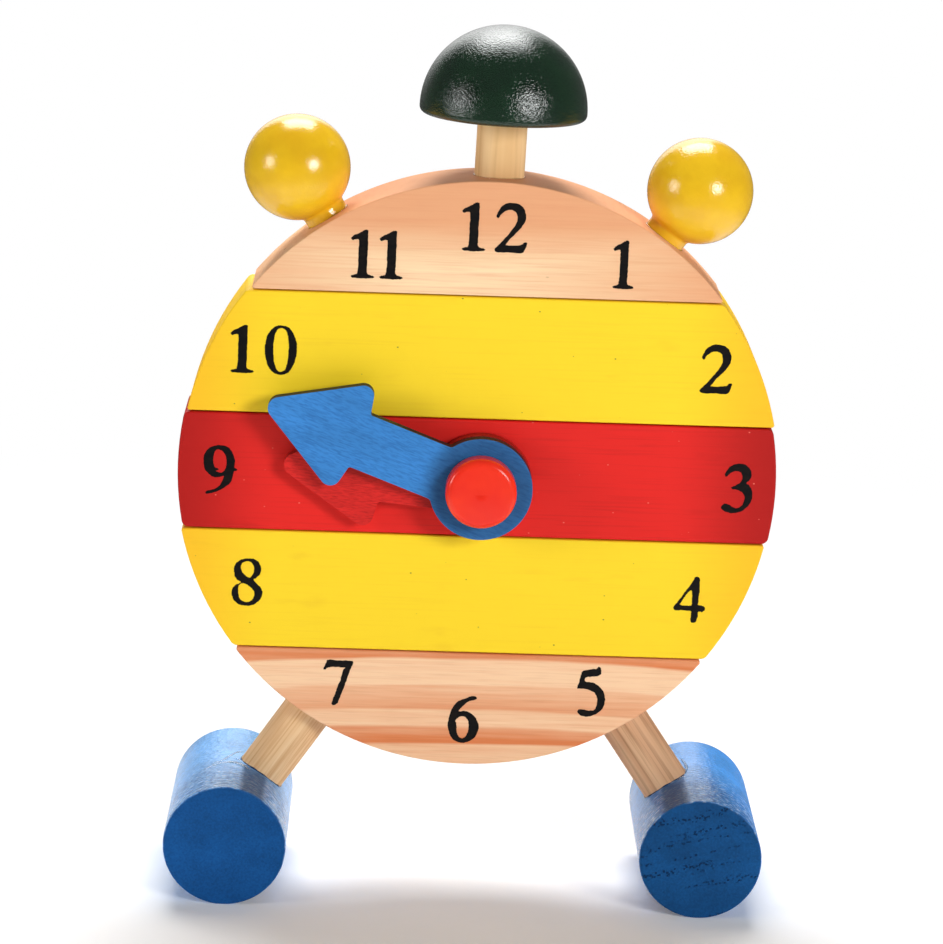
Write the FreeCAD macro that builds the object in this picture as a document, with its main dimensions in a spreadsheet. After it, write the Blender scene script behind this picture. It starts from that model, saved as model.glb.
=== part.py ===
"""Wooden take-apart teaching clock.

Five slats sawn from one disc stand on two hidden pillars. Two arrow hands turn on a
knobbed peg in the middle slat. Two ball bells and a mushroom hammer sit on top, and two
round feet on splayed dowel legs carry it all.

The frame: millimetres, +Z up, the dial looks along -Y, and the origin lies on the
ground under the middle of the clock.
"""
import FreeCAD
import Part
import Sketcher

import math
import os

# Driving dimensions, in millimetres and degrees
SIZES = {
    # The dial and its slats
    "dial_radius": (60.0, "radius of the round dial"),
    "slat_depth": (18.0, "thickness of the dial, front to back"),
    "dial_centre_height": (87.5, "middle of the dial above the ground"),
    "red_drop": (0.1, "middle of the red slat below the middle of the dial"),
    "red_height": (24.0, "height of the red slat"),
    "lower_yellow_height": (24.4, "height of the lower yellow slat"),
    "upper_yellow_height": (25.0, "height of the upper yellow slat"),
    "lower_yellow_shift": (0.1, "lower yellow slat to the right of the bottom one"),
    "red_shift": (0.5, "red slat to the right of the bottom one"),
    "upper_yellow_shift": (0.9, "upper yellow slat to the right of the bottom one"),
    "top_shift": (1.3, "top slat to the right of the bottom one"),
    "seam_gap": (0.3, "gap between two slats"),
    "blunt_round": (1.4, "rounding of a slat's blunt end corners, seen from the front"),
    "sharp_round": (0.5, "rounding of a slat's sharp end corners, seen from the front"),
    "edge_round": (0.35, "rounding of a slat's front and back edges"),
    # The pillars that the slats thread on
    "pillar_radius": (4.0, "radius of a pillar"),
    "pillar_wall": (2.5, "wood between a pillar and the end of a leg's socket"),
    "pillar_clearance": (0.1, "radial clearance of a pillar in a slat"),
    "pillar_socket_depth": (12.0, "pillar in the bottom slat"),
    "pillar_reach": (11.0, "pillar in the top slat"),
    "pillar_air": (1.0, "air above a pillar in the top slat"),
    # Legs and feet
    "leg_radius": (5.0, "radius of a leg"),
    "leg_entry": (31.8, "where a leg enters the dial's rim, from straight down"),
    "leg_socket_depth": (10.0, "leg in the bottom slat"),
    "foot_radius": (12.4, "radius of a foot"),
    "foot_length": (42.0, "length of a foot, front to back"),
    "foot_offset": (48.1, "foot's axis from the middle"),
    "foot_socket_depth": (8.0, "leg in its foot"),
    "foot_edge_round": (0.6, "rounding of a foot's ends"),
    "crown_turn": (1.6, "turn of the hammer and the balls round the rim, clockwise"),
    # Mushroom hammer
    "stem_radius": (5.0, "radius of the hammer's stem"),
    "stem_free_length": (11.8, "stem between dial and cap"),
    "stem_socket_depth": (12.0, "stem in the top slat"),
    "cap_radius": (16.7, "radius of the cap"),
    "cap_skirt": (1.4, "straight skirt under the cap's dome"),
    "cap_rim_round": (1.3, "rounding of the cap's rim"),
    "cap_socket_depth": (10.0, "stem in the cap"),
    # Ball bells
    "ball_radius": (10.6, "radius of a ball"),
    "ball_lean": (34.2, "ball's direction from the hammer's"),
    "neck_radius": (4.4, "radius of a ball's neck"),
    "neck_length": (2.2, "length of a ball's neck"),
    "neck_blend": (0.8, "rounding between ball and neck"),
    "seat_depth": (0.3, "flat seat under a ball's neck, into the dial's rim"),
    "seat_clearance": (0.2, "radial clearance round the neck in its seat"),
    "ball_peg_radius": (3.0, "radius of the peg that holds a ball"),
    "ball_peg_socket_depth": (10.0, "ball's peg in the top slat"),
    "ball_bore_depth": (10.0, "ball's peg in the ball"),
    # Hands and their peg
    "hand_thickness": (2.7, "thickness of a hand"),
    "hand_gap": (0.8, "gap under each hand"),
    "knob_play": (0.4, "gap between minute hand and knob"),
    "hub_radius": (10.3, "radius of a hand's round hub"),
    "arm_half_width": (5.65, "half the width of a hand's arm"),
    "minute_arm": (26.0, "minute hand's arrowhead from the peg"),
    "hour_arm": (20.0, "hour hand's arrowhead from the peg"),
    "head_length": (21.7, "arrowhead's sharp tip beyond its barbs' roots"),
    "barb_half_width": (12.0, "half the width over the sharp barbs"),
    "barb_sweep": (1.3, "barbs' lead over their roots"),
    "tip_round": (2.3, "rounding of an arrow's tip"),
    "barb_round": (2.1, "rounding of a barb"),
    "root_round": (0.6, "rounding of a barb's root"),
    "waist_round": (1.2, "rounding where the arm meets the hub"),
    "minute_angle": (290.7, "minute hand, clockwise from twelve"),
    "hour_angle": (274.8, "hour hand, clockwise from twelve"),
    "peg_radius": (3.0, "radius of the hands' peg"),
    "peg_drop": (0.8, "peg's axis below the middle of the dial"),
    "peg_shift": (0.7, "peg's axis to the right of the red slat's middle"),
    "peg_clearance": (0.08, "radial clearance of a hand on the peg"),
    "peg_depth": (13.0, "peg in the red slat"),
    "knob_radius": (7.1, "radius of the knob"),
    "knob_height": (4.4, "height of the knob"),
    "knob_edge_round": (1.5, "rounding of the knob's front edge"),
    "knob_dome": (0.35, "height of the knob's crown"),
    # Dowel ends
    "dowel_chamfer": (0.8, "chamfer on a dowel's ends"),
    "glue_gap": (0.5, "room at the bottom of a glued socket"),
}


SAME_PLACE = 1e-4  # two places closer than this are one
LEAST_CUT = 1.0  # a cut takes away at least this much, in cubic millimetres
PAST_RIM = 1.1  # how far what is sawn off a slat reaches, in dial radii


class Measure:
    """A number together with the formula that gives it from the sheet's cells."""

    def __init__(self, text, value):
        self.text = text
        self.value = value

    @staticmethod
    def of(other):
        """Return other as a Measure, whether it is one or a plain number."""
        return other if isinstance(other, Measure) else Measure(repr(float(other)), float(other))

    def _join(self, sign, other, value):
        return Measure("(%s %s %s)" % (self.text, sign, other.text), value)

    def __add__(self, other):
        other = Measure.of(other)
        return self._join("+", other, self.value + other.value)

    def __sub__(self, other):
        other = Measure.of(other)
        return self._join("-", other, self.value - other.value)

    def __mul__(self, other):
        other = Measure.of(other)
        return self._join("*", other, self.value * other.value)

    def __truediv__(self, other):
        other = Measure.of(other)
        return self._join("/", other, self.value / other.value)

    def __neg__(self):
        return self * -1

    def root(self):
        """Square root."""
        return Measure("sqrt(%s)" % self.text, math.sqrt(self.value))

    def sine(self):
        """Sine of an angle in degrees."""
        return Measure("sin(%s)" % self.text, math.sin(math.radians(self.value)))

    def cosine(self):
        """Cosine of an angle in degrees."""
        return Measure("cos(%s)" % self.text, math.cos(math.radians(self.value)))

    def slope_over(self, other):
        """The angle in degrees whose tangent is this over other."""
        angle = math.degrees(math.atan2(self.value, other.value))
        return Measure("atan2(%s; %s)" % (self.text, other.text), angle)


ZERO = Measure.of(0)
SIDES = (("left", -1), ("right", 1))

doc = FreeCAD.newDocument("teaching_clock")
sheet = doc.addObject("Spreadsheet::Sheet", "sizes")
for row, (alias, (number, meaning)) in enumerate(SIZES.items(), start=1):
    sheet.set("A%d" % row, meaning)
    sheet.set("B%d" % row, str(number))
    sheet.setAlias("B%d" % row, alias)
doc.recompute()


def size(alias):
    """The driving dimension of that name."""
    return Measure("sizes." + alias, SIZES[alias][0])


def new_body(node, x=ZERO, y=ZERO, z=ZERO, axis=(0, 1, 0), turn=ZERO):
    """Start a sub-part whose own frame lies at x, y, z and is turned about axis."""
    body = doc.addObject("PartDesign::Body", node)
    body.Label = node
    put(body, x, y, z, axis, turn)
    return body


def put(item, x, y, z, axis, turn):
    """Bind an item's Placement to formulas."""
    spot = FreeCAD.Vector(x.value, y.value, z.value)
    item.Placement = FreeCAD.Placement(spot, FreeCAD.Rotation(FreeCAD.Vector(*axis), turn.value))
    item.setExpression("Placement.Base.x", x.text)
    item.setExpression("Placement.Base.y", y.text)
    item.setExpression("Placement.Base.z", z.text)
    if turn.value:
        item.setExpression("Placement.Rotation.Angle", turn.text)


def bind(item, name, measure):
    """Set one property of a feature and bind it to its formula."""
    setattr(item, name, measure.value)
    item.setExpression(name, measure.text)


def new_sketch(body, name, role):
    """Start a sketch on one of the body's own origin planes."""
    sketch = body.newObject("Sketcher::SketchObject", body.Label + "_" + name)
    plane = next(part for part in body.Origin.OriginFeatures if part.Role == role)
    sketch.AttachmentSupport = (plane, [""])
    sketch.MapMode = "FlatFace"
    return sketch


def fix(sketch, kind, ends, measure):
    """Add one dimension to a sketch, bound to its formula."""
    index = sketch.addConstraint(Sketcher.Constraint(kind, *ends, measure.value))
    name = "size%d" % index
    sketch.renameConstraint(index, name)
    sketch.setExpression("Constraints." + name, measure.text)


def add_circle(sketch, radius, x=ZERO, y=ZERO):
    """Draw a circle with its middle at x, y."""
    middle = FreeCAD.Vector(x.value, y.value, 0)
    index = sketch.addGeometry(Part.Circle(middle, FreeCAD.Vector(0, 0, 1), radius.value))
    fix(sketch, "DistanceX", (index, 3), x)
    fix(sketch, "DistanceY", (index, 3), y)
    fix(sketch, "Radius", (index,), radius)


def add_outline(sketch, corners, arcs=None):
    """Draw a closed outline through corners.

    corners holds one (x, y) pair for each corner. arcs gives each curved side by the
    number of the corner that it starts from, as (radius, a point that it passes by).
    """
    arcs = arcs or {}
    points = [FreeCAD.Vector(x.value, y.value, 0) for x, y in corners]
    starts, ends = [], []
    for number, start in enumerate(points):
        end = points[(number + 1) % len(points)]
        if number in arcs:
            radius, via = arcs[number]
            curve = Part.Arc(start, via, end)
            index = sketch.addGeometry(curve)
            forward = sketch.Geometry[index].StartPoint.distanceToPoint(start) < SAME_PLACE
            fix(sketch, "Radius", (index,), radius)
        else:
            index = sketch.addGeometry(Part.LineSegment(start, end))
            forward = True
        starts.append((index, 1 if forward else 2))
        ends.append((index, 2 if forward else 1))
    for number, (x, y) in enumerate(corners):
        sketch.addConstraint(Sketcher.Constraint("Coincident", *ends[number - 1], *starts[number]))
        fix(sketch, "DistanceX", starts[number], x)
        fix(sketch, "DistanceY", starts[number], y)


def pad(body, sketch, length, both_ways=False):
    """Give a sketch its thickness, along its normal or half to each side."""
    feature = body.newObject("PartDesign::Pad", sketch.Name + "_pad")
    feature.Profile = sketch
    bind(feature, "Length", length)
    feature.Midplane = both_ways
    doc.recompute()
    return feature


def cut_through(body, sketch):
    """Cut a sketch's shape away, through the whole thickness on both sides."""
    before = body.Shape.Volume
    feature = body.newObject("PartDesign::Pocket", sketch.Name + "_cut")
    feature.Profile = sketch
    feature.Type = "ThroughAll"
    feature.Midplane = True
    doc.recompute()
    require_cut(body, before, feature)
    return feature


def bore(body, name, radius, length, x=ZERO, y=ZERO, z=ZERO, axis=(0, 1, 0), turn=ZERO):
    """Cut a round hole that starts at x, y, z and runs along the turned +Z."""
    before = body.Shape.Volume
    feature = body.newObject("PartDesign::SubtractiveCylinder", body.Label + "_" + name)
    bind(feature, "Radius", radius)
    bind(feature, "Height", length)
    put(feature, x, y, z, axis, turn)
    doc.recompute()
    require_cut(body, before, feature)
    return feature


def require_cut(body, before, feature):
    """Stop where a cut took nothing away."""
    if body.Shape.Volume > before - LEAST_CUT:
        raise RuntimeError("%s cut nothing from %s" % (feature.Name, body.Label))


def revolve(body, sketch):
    """Turn a sketch round its own upright axis."""
    feature = body.newObject("PartDesign::Revolution", sketch.Name + "_turn")
    feature.Profile = sketch
    feature.ReferenceAxis = (sketch, ["V_Axis"])
    feature.Angle = 360
    doc.recompute()
    return feature


def dress(body, kind, amount, chosen):
    """Round or chamfer the edges of the body's last feature that chosen picks."""
    base = body.Tip
    names = ["Edge%d" % count for count, edge in enumerate(base.Shape.Edges, start=1) if chosen(edge)]
    if not names:
        raise RuntimeError("no edge to dress on " + body.Label)
    feature = body.newObject("PartDesign::" + kind, "%s_%s%d" % (body.Label, kind.lower(), len(body.Group)))
    feature.Base = (base, names)
    bind(feature, "Radius" if kind == "Fillet" else "Size", amount)
    doc.recompute()
    return feature


def near(first, second):
    """Whether two numbers are the same place."""
    return abs(first - second) < SAME_PLACE


def middle_of(edge):
    """The point half way along an edge."""
    return edge.valueAt((edge.FirstParameter + edge.LastParameter) / 2)


def lies_at_y(edge, y):
    """Whether an edge lies in the plane at that y."""
    return all(near(point.y, y) for point in [middle_of(edge)] + [v.Point for v in edge.Vertexes])


def runs_through_at(edge, x, z):
    """Whether an edge runs front to back at x, z."""
    ends = [vertex.Point for vertex in edge.Vertexes]
    same = all(near(point.x, x) and near(point.z, z) for point in ends)
    return same and len(ends) == 2 and not near(ends[0].y, ends[1].y)


# The places that several pieces share, from the middle of the dial
RADIUS = size("dial_radius")
DEPTH = size("slat_depth")
FACE = -(DEPTH / 2)
CENTRE = size("dial_centre_height")
RED_BOTTOM = -size("red_drop") - size("red_height") / 2
RED_TOP = RED_BOTTOM + size("red_height")
LOWER_BOTTOM = RED_BOTTOM - size("lower_yellow_height")
UPPER_TOP = RED_TOP + size("upper_yellow_height")
HALF_SEAM = size("seam_gap") / 2
GLUE = size("glue_gap")
CROWN = size("crown_turn")
PEG_LEVEL = -size("peg_drop")
PEG_X = size("red_shift") + size("peg_shift")

# A leg's axis runs from the foot's own axis, up and inwards, to a point on the dial's rim
FOOT_DROP = CENTRE - size("foot_radius")
RUN_IN = size("foot_offset") - RADIUS * size("leg_entry").sine()
RUN_UP = FOOT_DROP - RADIUS * size("leg_entry").cosine()
LEG_ENTRY = (RUN_IN * RUN_IN + RUN_UP * RUN_UP).root()
LEG_IN = RUN_IN / LEG_ENTRY
LEG_UP = RUN_UP / LEG_ENTRY
LEG_SPLAY = RUN_IN.slope_over(RUN_UP)
LEG_START = size("foot_radius") - size("foot_socket_depth") + GLUE
LEG_END = LEG_ENTRY + size("leg_socket_depth") - GLUE

# A pillar stands clear of the inner corner of the leg's socket
SOCKET_END = size("foot_offset") - LEG_IN * (LEG_ENTRY + size("leg_socket_depth"))
PILLAR = SOCKET_END - LEG_UP * size("leg_radius") - size("pillar_wall") - size("pillar_radius")

# The front faces along the hands' peg, measured out from the dial's face
HOUR_BACK = size("hand_gap")
MINUTE_BACK = HOUR_BACK + size("hand_thickness") + size("hand_gap")
KNOB_BACK = MINUTE_BACK + size("hand_thickness") + size("knob_play")


def on_ray(angle, distance):
    """The x and z of a point that far from a slat's middle, at that angle clockwise from twelve."""
    return angle.sine() * distance, angle.cosine() * distance


def slat(node, bottom, top, shift=ZERO):
    """A slice of the dial's disc between two levels, with all its outer edges eased."""
    body = new_body(node, x=shift, z=CENTRE)
    disc = new_sketch(body, "disc", "XZ_Plane")
    add_circle(disc, RADIUS)
    pad(body, disc, DEPTH, both_ways=True)

    corners = {"sharp_round": [], "blunt_round": []}
    for name, level, sign in (("under", bottom, -1), ("over", top, 1)):
        if level is None:
            continue
        reach = (RADIUS * RADIUS - level * level).root().value
        kind = "sharp_round" if level.value * sign < 0 else "blunt_round"
        corners[kind] += [(-reach, level.value), (reach, level.value)]
        side = RADIUS * PAST_RIM
        beyond = side * sign
        waste = new_sketch(body, name, "XZ_Plane")
        add_outline(waste, [(-side, level), (side, level), (side, beyond), (-side, beyond)])
        cut_through(body, waste)

    for kind, places in corners.items():
        if places:
            dress(body, "Fillet", size(kind),
                  lambda edge: any(runs_through_at(edge, x, z) for x, z in places))
    dress(body, "Fillet", size("edge_round"),
          lambda edge: lies_at_y(edge, FACE.value) or lies_at_y(edge, -FACE.value))
    return body


def thread(body, bottom, length, shift):
    """Bore a slat for both pillars, from one level upwards, where it stands to the right of them."""
    for side, sign in SIDES:
        bore(body, "pillar_hole_" + side, size("pillar_radius") + size("pillar_clearance"), length,
             x=PILLAR * sign - shift, z=bottom)


def dowel(node, radius, length, x=ZERO, z=ZERO, turn=ZERO):
    """A round rod with chamfered ends that starts at x, z and runs along the turned +Z."""
    body = new_body(node, x=x, z=z, turn=turn)
    section = new_sketch(body, "section", "XY_Plane")
    add_circle(section, radius)
    pad(body, section, length)
    dress(body, "Chamfer", size("dowel_chamfer"), lambda edge: edge.isClosed())
    return body


def middle_slats():
    """The three coloured slats, each bored right through for the pillars."""
    for name, bottom, top in (("lower_yellow", LOWER_BOTTOM, RED_BOTTOM),
                              ("red", RED_BOTTOM, RED_TOP),
                              ("upper_yellow", RED_TOP, UPPER_TOP)):
        shift = size(name + "_shift")
        body = slat(name + "_slat", bottom + HALF_SEAM, top - HALF_SEAM, shift)
        thread(body, bottom, top - bottom, shift)
        if name == "red":
            bore(body, "peg_hole", size("peg_radius"), size("peg_depth") + GLUE,
                 x=size("peg_shift"), y=FACE + size("peg_depth") + GLUE, z=PEG_LEVEL,
                 axis=(1, 0, 0), turn=Measure.of(90))


def bottom_slat():
    """The lowest slat, with glued sockets for the pillars and the legs."""
    body = slat("bottom_slat", None, LOWER_BOTTOM - HALF_SEAM)
    for side, sign in SIDES:
        bore(body, "pillar_socket_" + side, size("pillar_radius"), size("pillar_socket_depth"),
             x=PILLAR * sign, z=LOWER_BOTTOM - HALF_SEAM - size("pillar_socket_depth"))
        start = LEG_ENTRY - size("leg_radius")
        bore(body, "leg_socket_" + side, size("leg_radius"),
             size("leg_radius") + size("leg_socket_depth"),
             x=(size("foot_offset") - LEG_IN * start) * sign,
             z=LEG_UP * start - FOOT_DROP, turn=LEG_SPLAY * -sign)


def top_slat():
    """The highest slat: blind over the pillars, with sockets for the hammer and the balls."""
    body = slat("top_slat", UPPER_TOP + HALF_SEAM, None, size("top_shift"))
    thread(body, UPPER_TOP, size("pillar_reach") + size("pillar_air"), size("top_shift"))
    x, z = on_ray(CROWN, RADIUS - size("stem_socket_depth"))
    bore(body, "stem_socket", size("stem_radius"), size("stem_socket_depth") + size("stem_radius"),
         x=x, z=z, turn=CROWN)
    for side, sign in SIDES:
        angle = CROWN + size("ball_lean") * sign
        for name, radius, depth in (
                ("seat", size("neck_radius") + size("seat_clearance"), size("seat_depth")),
                ("peg_socket", size("ball_peg_radius"), size("ball_peg_socket_depth"))):
            x, z = on_ray(angle, RADIUS - depth)
            bore(body, "ball_%s_%s" % (name, side), radius, depth + size("neck_radius"),
                 x=x, z=z, turn=angle)


def pillars():
    """The two upright dowels glued into the bottom slat."""
    start = LOWER_BOTTOM - HALF_SEAM - size("pillar_socket_depth")
    for side, sign in SIDES:
        dowel("pillar_" + side, size("pillar_radius"), UPPER_TOP + size("pillar_reach") - start,
              x=PILLAR * sign, z=CENTRE + start)


def legs():
    """The two splayed dowels between the bottom slat and the feet."""
    for side, sign in SIDES:
        dowel("leg_" + side, size("leg_radius"), LEG_END - LEG_START,
              x=(size("foot_offset") - LEG_IN * LEG_START) * sign,
              z=LEG_UP * LEG_START + size("foot_radius"), turn=LEG_SPLAY * -sign)


def feet():
    """The two round feet that lie front to back."""
    inner = size("foot_radius") - size("foot_socket_depth")
    for side, sign in SIDES:
        body = new_body("foot_" + side, x=size("foot_offset") * sign, z=size("foot_radius"))
        section = new_sketch(body, "section", "XZ_Plane")
        add_circle(section, size("foot_radius"))
        pad(body, section, size("foot_length"), both_ways=True)
        dress(body, "Fillet", size("foot_edge_round"), lambda edge: edge.isClosed())
        bore(body, "leg_socket", size("leg_radius"), size("foot_socket_depth") + size("leg_radius"),
             x=LEG_IN * inner * -sign, z=LEG_UP * inner, turn=LEG_SPLAY * -sign)


def hammer():
    """The mushroom: a straight stem and a domed cap with a rounded rim."""
    start = RADIUS - size("stem_socket_depth") + GLUE
    cap_bottom = RADIUS + size("stem_free_length")
    x, z = on_ray(CROWN, start)
    dowel("hammer_stem", size("stem_radius"), cap_bottom + size("cap_socket_depth") - GLUE - start,
          x=size("top_shift") + x, z=CENTRE + z, turn=CROWN)

    x, z = on_ray(CROWN, cap_bottom)
    body = new_body("hammer_cap", x=size("top_shift") + x, z=CENTRE + z, turn=CROWN)
    profile = new_sketch(body, "profile", "XZ_Plane")
    wide, skirt = size("cap_radius"), size("cap_skirt")
    half = wide.value * math.sqrt(0.5)
    add_outline(profile, [(ZERO, ZERO), (wide, ZERO), (wide, skirt), (ZERO, skirt + wide)],
                {2: (wide, FreeCAD.Vector(half, skirt.value + half, 0))})
    revolve(body, profile)
    dress(body, "Fillet", size("cap_rim_round"),
          lambda edge: edge.isClosed() and near(edge.Vertexes[0].Point.z, 0))
    bore(body, "stem_socket", size("stem_radius"), size("cap_socket_depth"))


def balls():
    """The two ball bells, each with a short neck, and the pegs that hold them."""
    round_radius, neck = size("ball_radius"), size("neck_radius")
    junction = (round_radius * round_radius - neck * neck).root()
    foot = junction + size("neck_length")
    distance = RADIUS - size("seat_depth") + foot
    peg_start = RADIUS - size("ball_peg_socket_depth") + GLUE
    peg_end = distance - foot + size("ball_bore_depth") - GLUE
    for side, sign in SIDES:
        angle = CROWN + size("ball_lean") * sign
        x, z = on_ray(angle, distance)
        body = new_body("ball_" + side, x=size("top_shift") + x, z=CENTRE + z, turn=angle)
        profile = new_sketch(body, "profile", "XZ_Plane")
        add_outline(profile, [(ZERO, round_radius), (ZERO, -foot), (neck, -foot), (neck, -junction)],
                    {3: (round_radius, FreeCAD.Vector(round_radius.value, 0, 0))})
        revolve(body, profile)
        dress(body, "Fillet", size("neck_blend"),
              lambda edge: edge.isClosed() and near(edge.Vertexes[0].Point.z, -junction.value))
        bore(body, "peg_hole", size("ball_peg_radius"), size("ball_bore_depth"), z=-foot)
        x, z = on_ray(angle, peg_start)
        dowel("ball_peg_" + side, size("ball_peg_radius"), peg_end - peg_start,
              x=size("top_shift") + x, z=CENTRE + z, turn=angle)


def hand(node, arm, back, angle):
    """An arrow hand sawn from thin board: round hub, straight arm and barbed head."""
    body = new_body(node, x=PEG_X, y=FACE - back, z=CENTRE + PEG_LEVEL, turn=angle)
    half, hub = size("arm_half_width"), size("hub_radius")
    waist = (hub * hub - half * half).root()
    barb, barb_level = size("barb_half_width"), arm + size("barb_sweep")
    tip = arm + size("head_length")
    shape = new_sketch(body, "outline", "XZ_Plane")
    add_outline(shape,
                [(-half, waist), (half, waist), (half, arm), (barb, barb_level),
                 (ZERO, tip), (-barb, barb_level), (-half, arm)],
                {0: (hub, FreeCAD.Vector(0, -hub.value, 0))})
    add_circle(shape, size("peg_radius") + size("peg_clearance"))
    pad(body, shape, size("hand_thickness"))
    for amount, corners in (
            ("tip_round", [(ZERO, tip)]),
            ("barb_round", [(barb, barb_level), (-barb, barb_level)]),
            ("root_round", [(half, arm), (-half, arm)]),
            ("waist_round", [(half, waist), (-half, waist)])):
        dress(body, "Fillet", size(amount),
              lambda edge: any(runs_through_at(edge, x.value, z.value) for x, z in corners))


def hand_peg():
    """The turned peg that the hands ride on: a shank in the red slat and a crowned knob."""
    body = new_body("hand_peg", x=PEG_X, y=FACE, z=CENTRE + PEG_LEVEL,
                    axis=(1, 0, 0), turn=Measure.of(90))
    shank, knob = size("peg_radius"), size("knob_radius")
    end, back = -size("peg_depth"), KNOB_BACK
    front = back + size("knob_height") - size("knob_dome")
    crown = front + size("knob_dome")
    dome = (knob * knob + size("knob_dome") * size("knob_dome")) / (size("knob_dome") * 2)
    half = knob.value / 2
    rise = crown.value - dome.value + math.sqrt(dome.value ** 2 - half ** 2)
    profile = new_sketch(body, "profile", "XZ_Plane")
    add_outline(profile,
                [(ZERO, end), (shank, end), (shank, back), (knob, back), (knob, front), (ZERO, crown)],
                {4: (dome, FreeCAD.Vector(half, rise, 0))})
    revolve(body, profile)
    dress(body, "Fillet", size("knob_edge_round"),
          lambda edge: edge.isClosed() and near(edge.Vertexes[0].Point.z, front.value))
    dress(body, "Chamfer", size("dowel_chamfer"),
          lambda edge: edge.isClosed() and near(edge.Vertexes[0].Point.z, end.value))


def save():
    """Check every object of the document and write one file for each sub-part."""
    doc.recompute()
    for item in doc.Objects:
        if {"Invalid", "Error"} & set(item.State):
            raise RuntimeError("%s failed: %s" % (item.Name, item.State))
    os.makedirs("parts", exist_ok=True)
    for body in (item for item in doc.Objects if item.TypeId == "PartDesign::Body"):
        shape = body.Shape
        if shape.isNull() or not shape.isValid() or len(shape.Solids) != 1:
            raise RuntimeError(body.Label + " isn't one valid solid")
        shape.exportStep(os.path.join("parts", body.Label + ".step"))
        print("%-20s %9.1f mm3" % (body.Label, shape.Volume))


bottom_slat()
middle_slats()
top_slat()
pillars()
legs()
feet()
hammer()
balls()
hand("hour_hand", size("hour_arm"), HOUR_BACK, size("hour_angle"))
hand("minute_hand", size("minute_arm"), MINUTE_BACK, size("minute_angle"))
hand_peg()
save()
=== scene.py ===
"""Looks of a wooden take-apart clock: painted slats, arrow hands, bell balls and round feet.

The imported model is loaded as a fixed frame. Every solid gets the finish of its real piece, and the printed
numerals and the beads of dried glue, which are too thin for the model, are added as surfaces of their own.
"""

import logging
from dataclasses import dataclass
from enum import Enum
from math import cos, pi, radians, sin, sqrt

import bpy
import numpy as np
from mathutils import Matrix, Vector
from mathutils.geometry import tessellate_polygon


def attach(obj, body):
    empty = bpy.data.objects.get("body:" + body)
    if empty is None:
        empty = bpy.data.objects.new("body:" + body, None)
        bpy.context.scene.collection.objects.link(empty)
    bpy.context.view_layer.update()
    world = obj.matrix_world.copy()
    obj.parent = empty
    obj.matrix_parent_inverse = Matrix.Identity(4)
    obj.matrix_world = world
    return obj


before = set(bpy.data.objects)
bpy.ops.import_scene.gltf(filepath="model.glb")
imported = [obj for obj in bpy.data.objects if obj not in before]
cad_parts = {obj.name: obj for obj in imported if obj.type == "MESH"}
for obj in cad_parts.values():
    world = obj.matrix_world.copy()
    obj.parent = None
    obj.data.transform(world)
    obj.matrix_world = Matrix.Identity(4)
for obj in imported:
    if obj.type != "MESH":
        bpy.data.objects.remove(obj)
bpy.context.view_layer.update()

MM = 0.001
WHITE = "FFFFFF"
BEECH = ("EFCB9C", "E2B682", "B98A5C")  # pale, warm and streak
log = logging.getLogger("clock")

Colour = tuple[float, float, float, float]
Triple = tuple[float, float, float]
Tree = bpy.types.NodeTree
Node = bpy.types.Node
Socket = bpy.types.NodeSocket
Material = bpy.types.Material


class Body(Enum):
    """The moving bodies that new pieces ride on."""

    BASE = "base"
    LOWER_YELLOW = "lower_yellow"
    RED = "red"
    UPPER_YELLOW = "upper_yellow"
    TOP = "top"


class Side(Enum):
    """Which of two mirrored pieces: the sign of its place along x."""

    LEFT = -1
    RIGHT = 1


# Shared helpers


def linear(hex_code: str) -> Colour:
    """Turns an sRGB hex colour into the linear values that a shader takes.

    Args:
        hex_code: six hex digits, such as "FDD833".

    Returns:
        Red, green, blue and an alpha of 1.
    """
    srgb = np.array([int(hex_code[at : at + 2], 16) for at in (0, 2, 4)]) / 255.0
    flat = np.where(srgb <= 0.04045, srgb / 12.92, ((srgb + 0.055) / 1.055) ** 2.4)
    return (*flat.tolist(), 1.0)


def add(tree: Tree, kind: str, *feeds: object, stops: tuple = (), **settings: object) -> Node:
    """Adds one node to a tree, sets it and links it.

    Args:
        tree: the material's or the world's node tree.
        kind: the node's type name without the leading "ShaderNode".
        feeds: what goes into its inputs, in the order in which they show: a value, a hex colour, a socket,
            or a node, which stands for its first output in use.
        stops: the positions and grey values of a ramp, where the node has one.
        settings: its own properties, which start with a small letter, and inputs by their shown names,
            which start with a capital and have an underscore for each space.

    Returns:
        The new node.
    """
    node = tree.nodes.new("ShaderNode" + kind)
    for name, value in settings.items():
        if name[0].islower():
            setattr(node, name, value)
    inputs = [socket for socket in node.inputs if socket.enabled]
    named = {socket.name: socket for socket in reversed(inputs)}
    pairs = [(inputs[number], value) for number, value in enumerate(feeds)]
    for name, value in settings.items():
        if name[0].isupper():
            pairs.append((named[name.replace("_", " ")], value))
    for socket, value in pairs:
        if isinstance(value, Node):
            value = next(output for output in value.outputs if output.enabled)
        if isinstance(value, Socket):
            tree.links.new(value, socket)
        else:
            socket.default_value = linear(value) if isinstance(value, str) else value
    for number, (position, grey) in enumerate(stops):
        ramp = node.color_ramp.elements
        stop = ramp[number] if number < len(ramp) else ramp.new(position)
        stop.position, stop.color = position, (grey, grey, grey, 1.0)
    return node


def metres(*sizes_mm: float) -> tuple[float, ...]:
    """Turns a real size or place in millimetres into the metres that a node takes."""
    return tuple(size * MM for size in sizes_mm)


def dress(node: str, material: Material) -> None:
    """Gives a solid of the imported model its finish, and leaves its mesh as it is."""
    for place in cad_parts[node].material_slots:
        place.material = material
    log.info("%s wears %s", node, material.name)


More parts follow.
